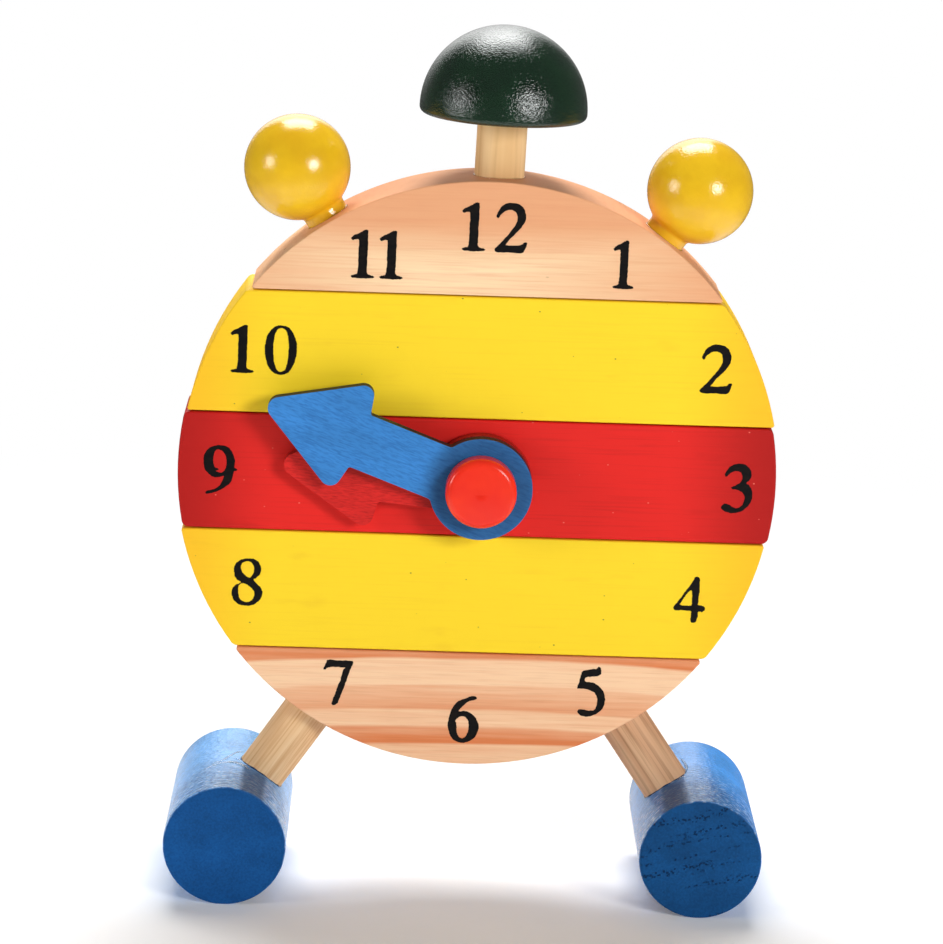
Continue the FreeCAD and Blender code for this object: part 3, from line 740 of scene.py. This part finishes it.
@dataclass(frozen=True)
class Numeral:
    """One printed numeral: its digits with the middle of each on the dial."""

    name: str
    body: Body
    digits: tuple[tuple[str, float, float], ...]  # digit, x, and height from the dial's middle, mm
    stretch: float = 1.0  # width of its digits against the drawn ones
    step: float = 0.05  # size of one step of the outlines, mm
    middle: float = 87.5  # height of the dial's middle, mm
    front: float = -9.035  # depth of the ink's face, 0.035 mm proud of the wood, mm
    back: float = -8.995  # depth of its back, just in the wood, mm
    ragged: float = 0.05  # how far the printed edge strays, mm
    per_span: int = 7  # points drawn for each point of an outline

    def edge(self, loop: tuple[int, ...], hole: bool, seed: int) -> np.ndarray:
        """Draws one outline as a closed curve through its points, then roughens it.

        Between points b and c, with a before and d after, the curve at share u is half of
        2b + (c - a)u + (2a - 5b + 4c - d)u^2 + (3b - a - 3c + d)u^3. Each point then moves along the
        curve's normal by a chance wobble.

        Args:
            loop: the outline's points in steps.
            hole: whether the ink lies outside it.
            seed: picks the roughness.

        Returns:
            The points in millimetres, anticlockwise seen from the front, or clockwise for a hole.
        """
        b = np.array(loop, float).reshape(-1, 2) * self.step * (self.stretch, 1.0)
        a, c, d = np.roll(b, 1, axis=0), np.roll(b, -1, axis=0), np.roll(b, -2, axis=0)
        share = np.linspace(0.0, 1.0, self.per_span, endpoint=False)[:, None, None]
        cubic = 2 * b + (c - a) * share + (2 * a - 5 * b + 4 * c - d) * share**2
        cubic = 0.5 * (cubic + (3 * b - a - 3 * c + d) * share**3)
        curve = cubic.transpose(1, 0, 2).reshape(-1, 2)
        after = np.roll(curve, -1, axis=0)
        area = np.sum(curve[:, 0] * after[:, 1] - after[:, 0] * curve[:, 1])
        if (area < 0) != hole:
            curve = curve[::-1]
        along = unit(np.roll(curve, -1, axis=0) - np.roll(curve, 1, axis=0))
        turn = np.linspace(0.0, 2 * pi, len(curve), endpoint=False)
        stray = self.ragged * wobble(turn, seed, (9, 14, 23, 31, 47, 58))
        return curve + stray[:, None] * np.stack([along[:, 1], -along[:, 0]], axis=1)

    def build(self, ink: Material) -> bpy.types.Object:
        """Builds the numeral as a closed film: a front, a back and a wall round every outline.

        Args:
            ink: its finish.

        Returns:
            The numeral's piece.
        """
        points, faces, start = [], [], 0
        for number, (digit, x, up) in enumerate(self.digits):
            loops = [
                self.edge(loop, hole > 0, 100 * number + 10 * hole + len(self.name) + int(abs(x)))
                for hole, loop in enumerate(DIGITS[digit])
            ]
            flat, count = np.concatenate(loops), sum(len(loop) for loop in loops)
            filled = np.array(tessellate_polygon([[(px, pz, 0.0) for px, pz in loop] for loop in loops]))
            first, second, third = (flat[filled[:, corner]] for corner in range(3))
            one, two = second - first, third - first
            spin = one[:, 0] * two[:, 1] - one[:, 1] * two[:, 0]
            filled[spin < 0] = filled[spin < 0][:, ::-1]
            here = np.arange(count)
            cuts = np.cumsum([len(loop) for loop in loops])[:-1]
            ahead = np.concatenate([np.roll(part, -1) for part in np.split(here, cuts)])
            wall = np.stack([here, here + count, ahead + count, ahead], axis=1)
            for part in (filled, filled[:, ::-1] + count, wall):
                faces += (part + start).tolist()
            for depth in (self.front, self.back):
                high = flat[:, 1] + up + self.middle
                points.append(np.column_stack([flat[:, 0] + x, np.full(count, depth), high]))
            start += 2 * count
        return add_piece(self.name, np.concatenate(points), faces, ink, self.body, smooth=False)


@dataclass(frozen=True)
class Numerals:
    """The twelve numerals, each on the slat that it is printed on."""

    print_list: tuple[Numeral, ...] = (
        Numeral("numeral_12", Body.TOP, (("1", -1.88, 50.86), ("2", 5.57, 50.86))),
        Numeral("numeral_1", Body.TOP, (("1", 28.03, 44.21),), 0.9),
        Numeral("numeral_2", Body.UPPER_YELLOW, (("2", 47.48, 23.7),)),
        Numeral("numeral_3", Body.RED, (("3", 52.83, -0.53),)),
        Numeral("numeral_4", Body.LOWER_YELLOW, (("4", 44.29, -23.9),)),
        Numeral("numeral_5", Body.BASE, (("5", 25.19, -43.85),)),
        Numeral("numeral_6", Body.BASE, (("6", -0.55, -50.49),)),
        Numeral("numeral_7", Body.BASE, (("7", -26.29, -43.54),)),
        Numeral("numeral_8", Body.LOWER_YELLOW, (("8", -45.11, -23.06),)),
        Numeral("numeral_9", Body.RED, (("9", -51.2, 0.04),)),
        Numeral("numeral_10", Body.UPPER_YELLOW, (("1", -47.06, 24.83), ("0", -39.39, 24.8))),
        Numeral("numeral_11", Body.TOP, (("1", -23.67, 44.7), ("1", -18.01, 44.69))),
    )

    def build(self) -> list[str]:
        """Prints all numerals and returns their names."""
        ink = ScreenInk("black_ink_screen_printed").build()
        return [numeral.build(ink).name for numeral in self.print_list]


# Sub-assemblies


@dataclass(frozen=True)
class Slats:
    """The five slats of the dial and the two pillars that they thread on."""

    pillars: tuple[str, str] = ("pillar_left", "pillar_right")

    def build(self) -> list[str]:
        """Dresses the slats and pillars and returns their names."""
        # Body, ends, grain and speck colours; the ends colour is a painted shade.
        yellow = ("FFDA29", "FDC324", "DFA51E", "8C7A2A")
        red = ("E6241E", "B31410", "AE130F", "EE7466")
        top = ("FFE1B4", "FDD6AA", "E29A70", (16.0, 4.0, 0.45))
        finishes = {
            "bottom_slat": BandedPine("pine_flat_sawn_sanded"),
            "top_slat": BareWood("whitewood_sanded", *top, contrast=0.42, ends="E69E70"),
            "lower_yellow_slat": SlatPaint("yellow_paint_brushed_lower", *yellow, shift=120.0),
            "upper_yellow_slat": SlatPaint("yellow_paint_brushed_upper", *yellow, shift=40.0),
            "red_slat": SlatPaint("red_paint_brushed", *red, 0.3, 0.04, 0.25),
        }
        for node, finish in finishes.items():
            dress(node, finish.build())
        dowel = BareWood("beech_dowel_upright", *BEECH, (0.6, 0.6, 14.0)).build()
        for node in self.pillars:
            dress(node, dowel)
        return [*finishes, *self.pillars]


@dataclass(frozen=True)
class Joint:
    """A round dowel that stands square on a round rim, with glue squeezed out where they meet."""

    name: str
    body: Body
    centre: tuple[float, float]  # x and height of the rim's axis, which lies front to back, mm
    rim: float  # the rim's radius, mm
    lean: float  # the dowel's tilt from upright, to the right, degrees
    dowel: float  # the dowel's radius, mm
    size: float  # the bead's usual half-width, mm
    seed: int
    lumps: tuple[tuple[float, float], ...] = ()  # each lump's turn in degrees and extra size, mm
    uneven: float = 0.5  # how much the bead's size changes round the dowel, as a share
    lump_reach: float = 0.28  # half of a lump's width round the dowel, radians
    thinnest: float = 0.06  # half-width that is left everywhere, mm

    def build(self, glue: Material) -> bpy.types.Object:
        """Lays the bead along the line where the dowel meets the rim.

        At turn t round the dowel, with u across the dowel and a along it, the line is
        centre + sqrt(rim^2 - dowel^2 cos(t)^2) a + dowel cos(t) u + dowel sin(t) y.

        Args:
            glue: its finish.

        Returns:
            The bead's piece.
        """
        turn = np.linspace(0.0, 2 * pi, 120, endpoint=False)
        lean = radians(self.lean)
        along, across = np.array([sin(lean), 0.0, cos(lean)]), np.array([cos(lean), 0.0, -sin(lean)])
        round_dowel = np.cos(turn)[:, None] * across + np.sin(turn)[:, None] * np.array([0.0, 1.0, 0.0])
        reach = np.sqrt(self.rim**2 - (self.dowel * np.cos(turn)) ** 2)
        centre = np.array([self.centre[0], 0.0, self.centre[1]])
        path = centre + reach[:, None] * along + self.dowel * round_dowel
        size = self.size * (1.0 + self.uneven * wobble(turn, self.seed, (2, 3, 5, 8, 13)))
        for at, extra in self.lumps:
            away = np.angle(np.exp(1j * (turn - radians(at))))
            size = size + extra * np.exp(-((away / self.lump_reach) ** 2))
        size = np.maximum(size, self.thinnest)
        lift = np.tile(along, (len(turn), 1))
        surface = bead(path, round_dowel, lift, size, size, closed=True)
        return add_piece(self.name, *surface, glue, self.body)


@dataclass(frozen=True)
class Smear:
    """A smear of glue wiped over a foot's turned side."""

    name: str
    side: Side  # the foot that it lies on
    width: float  # half-width where it is fullest, mm
    height: float  # how far it stands out there, mm
    track: tuple[tuple[float, float], ...]  # turn from the top to the right in degrees, and depth y in mm
    fullest: float = 0.5  # where along the track it is fullest, as a share

    def build(self, glue: Material, axis: float, foot: float) -> bpy.types.Object:
        """Lays the smear on the foot.

        A smooth line is fitted through the track's turns and depths. At each share s along it the smear's
        width and height are their full values times sqrt(sin(pi s^p)), so that both ends run out, where the
        power p puts the full values at the stated share.

        Args:
            glue: its finish.
            axis: distance of the foot's axis from the middle, mm.
            foot: the foot's radius, which is its axis's height too, mm.

        Returns:
            The smear's piece.
        """
        track = np.array(self.track)
        knots, share = np.linspace(0.0, 1.0, len(track)), np.linspace(0.0, 1.0, 48)
        order = min(3, len(track) - 1)
        turn, depth = (np.polyval(np.polyfit(knots, track[:, column], order), share) for column in (0, 1))
        turn = np.radians(turn)
        out = np.column_stack([np.sin(turn), np.zeros_like(turn), np.cos(turn)])
        centre = np.array([self.side.value * axis, 0.0, foot])
        path = centre + foot * out + np.outer(depth, [0.0, 1.0, 0.0])
        across = unit(np.cross(unit(np.gradient(path, axis=0)), out))
        power = np.log(0.5) / np.log(self.fullest)
        taper = np.sqrt(np.maximum(np.sin(pi * share**power), 1e-4))
        rough = 1.0 + 0.3 * wobble(2 * pi * share, len(self.name), (3, 5, 9, 15))
        surface = bead(path, across, out, self.width * taper * rough, self.height * taper, closed=False)
        return add_piece(self.name, *surface, glue, Body.BASE)


@dataclass(frozen=True)
class Feet:
    """The two round feet with their splayed legs and the glue at their joints."""

    axis: float = 48.1  # distance of a foot's axis from the middle, mm
    radius: float = 12.4
    end_face: float = 21.0
    splay: float = 34.35  # a leg's tilt from upright, degrees
    leg: float = 5.0  # a leg's radius, mm
    # For each foot: the paint on its ends and side, pores, gloss of its outer flank, and its leg's wood. The
    # side paint is lighter on the left foot and darker on the right one, and the right leg's wood is darker:
    # painted light and shade.
    looks: tuple = (
        (Side.LEFT, "124F8E", "74BAFF", 0.0, 1.0, ("F2CEA0", "E8BC8A", "C8894C")),
        (Side.RIGHT, "114A80", "4391DE", 0.75, 0.1, ("DFB58E", "D2A27C", "9A6A44")),
    )
    smears: tuple[Smear, ...] = (
        Smear("glue_smear_back", Side.LEFT, 0.32, 0.07,
              ((11.0, 4.3), (5.0, 3.0), (-1.2, 0.4), (-7.2, -2.2), (-16.8, -3.6)), 0.3),
        Smear("glue_smear_front", Side.LEFT, 0.55, 0.16,
              ((20.5, -6.2), (13.0, -4.9), (6.0, -3.6), (-1.0, -3.6), (-8.0, -4.4), (-17.0, -5.0),
               (-28.0, -6.4)), 0.25),
        Smear("glue_smear_side", Side.LEFT, 0.22, 0.07, ((3.4, -0.6), (9.0, -1.5), (15.5, -2.4))),
        Smear("glue_smear_right", Side.RIGHT, 0.32, 0.2,
              ((-13.0, 9.5), (-10.5, 6.5), (-9.0, 3.2), (-10.5, 0.2)), 0.6),
        Smear("glue_smear_corner", Side.RIGHT, 0.25, 0.15, ((-11.5, -2.9), (-16.5, -4.0), (-21.0, -5.2))),
    )

    def build(self, glue: Material) -> list[str]:
        """Dresses feet and legs, lays the glue and returns all their names.

        Args:
            glue: the finish of the squeezed-out glue.

        Returns:
            The names of the pieces.
        """
        built = []
        # The glue rings at the legs are dark navy: painted shade along the junction of each leg and its
        # foot.
        stained = DriedGlue("wood_glue_dark_painted_shade", "123863", "0A1C33", 0.0).build()
        for side, soaked, turned, pores, gloss, wood in self.looks:
            label, lean = side.name.lower(), -side.value * self.splay
            name = f"blue_paint_turned_{label}"
            paint = FootPaint(name, side, self.axis, self.end_face, soaked, turned, pores, gloss)
            dress(f"foot_{label}", paint.build())
            dowel = BareWood(f"ramin_dowel_{label}", *wood, (0.5, 0.7, 24.0), turn=lean, contrast=0.75)
            dress(f"leg_{label}", dowel.build())
            centre = (side.value * self.axis, self.radius)
            sizes = (centre, self.radius, lean, self.leg, 0.16, 11 + side.value)
            joint = Joint(f"glue_leg_{label}", Body.BASE, *sizes)
            built += [f"foot_{label}", f"leg_{label}", joint.build(stained).name]
        return built + [smear.build(glue, self.axis, self.radius).name for smear in self.smears]


@dataclass(frozen=True)
class Hammer:
    """The hammer on top: a bare dowel with a green dome, and glue at the dowel's foot."""

    slat: tuple[float, float] = (1.3, 87.5)  # x and height of the top slat's rim axis, mm
    rim: float = 60.0
    lean: float = 1.6
    stem: float = 5.0
    lumps: tuple = ((180.0, 0.12), (0.0, 0.16), (-52.0, 0.14))

    def build(self, glue: Material) -> list[str]:
        """Dresses the hammer, lays its glue and returns their names.

        Args:
            glue: the finish of the squeezed-out glue.

        Returns:
            The names of the pieces.
        """
        wood = ("F8D29C", "E9BD84", "C08F58", (0.9, 0.9, 20.0))
        dress("hammer_stem", BareWood("ramin_dowel_stem", *wood, self.lean, 0.3, 0.04).build())
        cap = GlossLacquer("green_lacquer_on_turned_wood", "183020", "15291D", 0.3, 0.1, 0.12, 0.7)
        dress("hammer_cap", cap.build())
        sizes = (self.slat, self.rim, self.lean, self.stem, 0.12, 5)
        joint = Joint("glue_hammer", Body.TOP, *sizes, self.lumps)
        return ["hammer_stem", "hammer_cap", joint.build(glue).name]


@dataclass(frozen=True)
class BellBalls:
    """The two yellow balls with their necks and hidden pegs."""

    slat: tuple[float, float] = (1.3, 87.5)
    rim: float = 60.0
    lean: float = 34.2  # a ball's direction from the hammer's, degrees
    crown: float = 1.6  # the hammer's own tilt, degrees
    neck: float = 4.4
    lumps: tuple = ((180.0, 0.1), (0.0, 0.1))

    def build(self, glue: Material) -> list[str]:
        """Dresses the balls and pegs, lays the glue and returns their names.

        Args:
            glue: the finish of the squeezed-out glue.

        Returns:
            The names of the pieces.
        """
        lacquer = GlossLacquer("yellow_lacquer_on_turned_wood", "F4C320", "E9B41C", 0.4, 0.05, 0.16, 0.6)
        finish = lacquer.build()
        peg = BareWood("beech_peg", *BEECH, (0.6, 0.6, 14.0)).build()
        built = []
        for side in Side:
            label = side.name.lower()
            dress(f"ball_{label}", finish)
            dress(f"ball_peg_{label}", peg)
            lean = self.crown + side.value * self.lean
            sizes = (self.slat, self.rim, lean, self.neck, 0.1, 21 + side.value)
            joint = Joint(f"glue_ball_{label}", Body.TOP, *sizes, self.lumps)
            built += [f"ball_{label}", f"ball_peg_{label}", joint.build(glue).name]
        return built


@dataclass(frozen=True)
class Hands:
    """The two arrow hands and the knobbed peg that they turn on."""

    finishes: tuple[tuple[str, Finish], ...] = (
        ("minute_hand",
         StainedPly("plywood_stained_blue", "3B86CE", "2A69AE", "17202B", 290.7, -16.0, -13.3)),
        # The hour hand's edge is dark red, not charred brown: painted shade, the colour of the shaded red
        # slat round its hub.
        ("hour_hand",
         StainedPly("plywood_stained_red", "DB2622", "AE1512", "A41D18", 274.8, -12.5, -9.8)),
        ("hand_peg",
         GlossLacquer("red_lacquer_on_turned_wood", "F8371F", "F02E1E", 1.4, 0.006, 0.2, 0.35, -16.2)),
    )

    def build(self) -> list[str]:
        """Dresses the hands and the peg and returns their names."""
        for node, finish in self.finishes:
            dress(node, finish.build())
        return [node for node, _ in self.finishes]


# Studio


@dataclass(frozen=True)
class WhitePaper(Finish):
    """A roll of white paper.

    The eye sees the clock's soft shadow near it and plain white everywhere else.
    """

    glow: float = 0.05
    near: float = 0.13  # m from the clock where the paper starts to fade to white
    far: float = 0.4  # m from the clock where it is plain white
    dim: float = 0.12  # how bright the far floor is in reflections
    shine: float = 3.2  # how bright the wall is in reflections
    low: float = 0.03  # m above the table where the wall's brightness begins
    tall: float = 1.0  # m above the table where it is full
    middle: float = -0.2  # m to the right where the bright part's middle is
    half: float = 0.45  # m from there where it starts to fall off
    end: float = 0.75  # m from there where it has fallen to the floor's

    def build(self) -> Material:
        """Builds the material: lit paper near the clock, which turns plain white for the eye beyond.

        In reflections the far floor is dim and the wall is bright in its middle part.

        Returns:
            The material.
        """
        material, tree, place = self.open()
        path = add(tree, "LightPath").outputs
        seen = add(tree, "Math", path["Is Camera Ray"], path["Is Transmission Ray"], operation="MAXIMUM")
        far = add(tree, "Math", seen, path["Is Glossy Ray"], operation="MAXIMUM")
        at = add(tree, "SeparateXYZ", place).outputs
        high = add(tree, "MapRange", at["Z"], self.low, self.tall)
        off = add(tree, "Math", at["X"], self.middle, operation="SUBTRACT")
        off = add(tree, "Math", off, operation="ABSOLUTE")
        wide = add(tree, "MapRange", off, self.end, self.half, interpolation_type="SMOOTHSTEP")
        wall = add(tree, "Math", high, wide, operation="MULTIPLY")
        mirrored = add(tree, "MapRange", wall, To_Min=self.dim, To_Max=self.shine)
        strength = add(tree, "Mix", seen, mirrored, 1.0, data_type="FLOAT")
        away = add(tree, "VectorMath", place, operation="LENGTH")
        beyond = add(tree, "MapRange", away, self.near, self.far, interpolation_type="SMOOTHSTEP")
        tone = add(tree, "MapRange", self.streaks(tree, place, (8, 8, 8)), To_Min=0.92, To_Max=0.94)
        paper = add(tree, "BsdfDiffuse", tone)
        lift = add(tree, "Math", seen, self.glow, operation="MULTIPLY")
        lit = add(tree, "AddShader", paper, add(tree, "Emission", WHITE, lift))
        share = add(tree, "Math", beyond, far, operation="MULTIPLY")
        both = add(tree, "MixShader", share, lit, add(tree, "Emission", WHITE, strength))
        add(tree, "OutputMaterial", both)
        return material


@dataclass(frozen=True)
class Lamp:
    """A soft lamp: a square panel that faces the clock."""

    name: str
    place: Triple  # m
    width: float  # m
    length: float  # m
    watts: float

    def build(self, aim: Vector) -> None:
        """Hangs the lamp and turns it to face a point."""
        panel = bpy.data.lights.new(self.name, "AREA")
        panel.shape = "RECTANGLE"
        panel.size, panel.size_y, panel.energy = self.width, self.length, self.watts
        lamp = bpy.data.objects.new(self.name, panel)
        lamp.location = self.place
        lamp.visible_camera = False
        lamp.rotation_euler = (Vector(self.place) - aim).to_track_quat("Z", "Y").to_euler()
        bpy.context.scene.collection.objects.link(lamp)


@dataclass(frozen=True)
class Studio:
    """A pale table that curves up into a white wall, three soft lamps, and the camera."""

    lamps: tuple[Lamp, ...] = (
        Lamp("overhead_panel", (-0.03, 0.54, 1.1), 0.72, 0.62, 14.8),
        Lamp("right_panel", (0.60, -0.82, 0.39), 0.29, 0.29, 6.5),
        Lamp("left_panel", (-0.93, -0.45, 0.35), 0.32, 0.32, 3.3),
    )
    aim: Triple = (0.0, 0.0, 0.09)  # m, where the lamps point
    ambient: float = 0.08
    bend: float = 0.5  # m, radius of the curve from table to wall
    start: float = 1.1  # m behind the clock where the curve starts
    front: float = -1.6  # m, the table's front edge
    wall: float = 1.6  # m, the wall's height
    half_width: float = 2.4  # m
    eye: Triple = (-0.014112, -0.779519, 0.267746)  # m
    right: Triple = (0.999376, -0.009543, 0.033994)
    up: Triple = (-0.030946, 0.226804, 0.973449)
    ahead: Triple = (0.016999, 0.973894, -0.226367)
    lens: float = 150.76  # for a 36 mm wide frame

    def build(self) -> None:
        """Builds the table and wall, the lamps, the room's light and the camera."""
        self.build_table()
        for lamp in self.lamps:
            lamp.build(Vector(self.aim))
        self.build_room()
        self.build_camera()

    def build_table(self) -> None:
        """Carries a floor, arc and wall profile from left to right.

        The profile is flat at height 0, then a quarter circle, then upright. It is carried along x, so a
        point is (x, y(s), z(s)).
        """
        arc, back = np.linspace(0.0, pi / 2, 24), self.start + self.bend
        floor = np.linspace(self.front, self.start, 12, endpoint=False)
        y = np.concatenate([floor, self.start + self.bend * np.sin(arc), [back]])
        z = np.concatenate([np.zeros_like(floor), self.bend * (1 - np.cos(arc)), [self.wall]])
        x = np.linspace(-self.half_width, self.half_width, 9)
        points = np.stack([np.repeat(x, len(y)), np.tile(y, len(x)), np.tile(z, len(x))], axis=1)
        row, column = np.meshgrid(np.arange(len(x) - 1), np.arange(len(y) - 1), indexing="ij")
        first = (row * len(y) + column).ravel()
        quads = np.stack([first, first + len(y), first + len(y) + 1, first + 1], axis=1)
        mesh = bpy.data.meshes.new("table_and_wall")
        mesh.from_pydata(points.tolist(), [], quads.tolist())
        mesh.polygons.foreach_set("use_smooth", np.ones(len(mesh.polygons), bool))
        mesh.materials.append(WhitePaper("white_paper_roll").build())
        table = bpy.data.objects.new("table_and_wall", mesh)
        bpy.context.scene.collection.objects.link(table)

    def build_room(self) -> None:
        """Lights the room evenly, and shows it white where the camera sees past the wall."""
        world = bpy.data.worlds.new("studio_room")
        world.use_nodes = True
        tree = world.node_tree
        tree.nodes.clear()
        path = add(tree, "LightPath").outputs
        strength = add(tree, "MapRange", path["Is Camera Ray"], To_Min=self.ambient, To_Max=1.0)
        add(tree, "OutputWorld", add(tree, "Background", WHITE, strength))
        bpy.context.scene.world = world

    def build_camera(self) -> None:
        """Sets the camera where the photograph was taken from, and the plain view transform."""
        lens = bpy.data.cameras.new("camera")
        lens.lens, lens.sensor_width, lens.sensor_fit = self.lens, 36.0, "HORIZONTAL"
        lens.clip_start, lens.clip_end = 0.01, 20.0
        camera = bpy.data.objects.new("camera", lens)
        axes = Matrix((self.right, self.up, [-part for part in self.ahead])).transposed()
        camera.matrix_world = Matrix.LocRotScale(Vector(self.eye), axes.to_quaternion(), None)
        bpy.context.scene.collection.objects.link(camera)
        bpy.context.scene.camera = camera
        bpy.context.scene.view_settings.view_transform = "Standard"


def main() -> None:
    """Dresses the clock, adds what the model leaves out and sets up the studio."""
    logging.basicConfig(level=logging.INFO, format="%(name)s: %(message)s")
    glue = DriedGlue("wood_glue_dried_clear").build()
    log.info("slats: %s", ", ".join(Slats().build()))
    log.info("numerals: %s", ", ".join(Numerals().build()))
    log.info("feet: %s", ", ".join(Feet().build(glue)))
    log.info("hammer: %s", ", ".join(Hammer().build(glue)))
    log.info("bell balls: %s", ", ".join(BellBalls().build(glue)))
    log.info("hands: %s", ", ".join(Hands().build()))
    Studio().build()


if __name__ == "__main__":
    main()
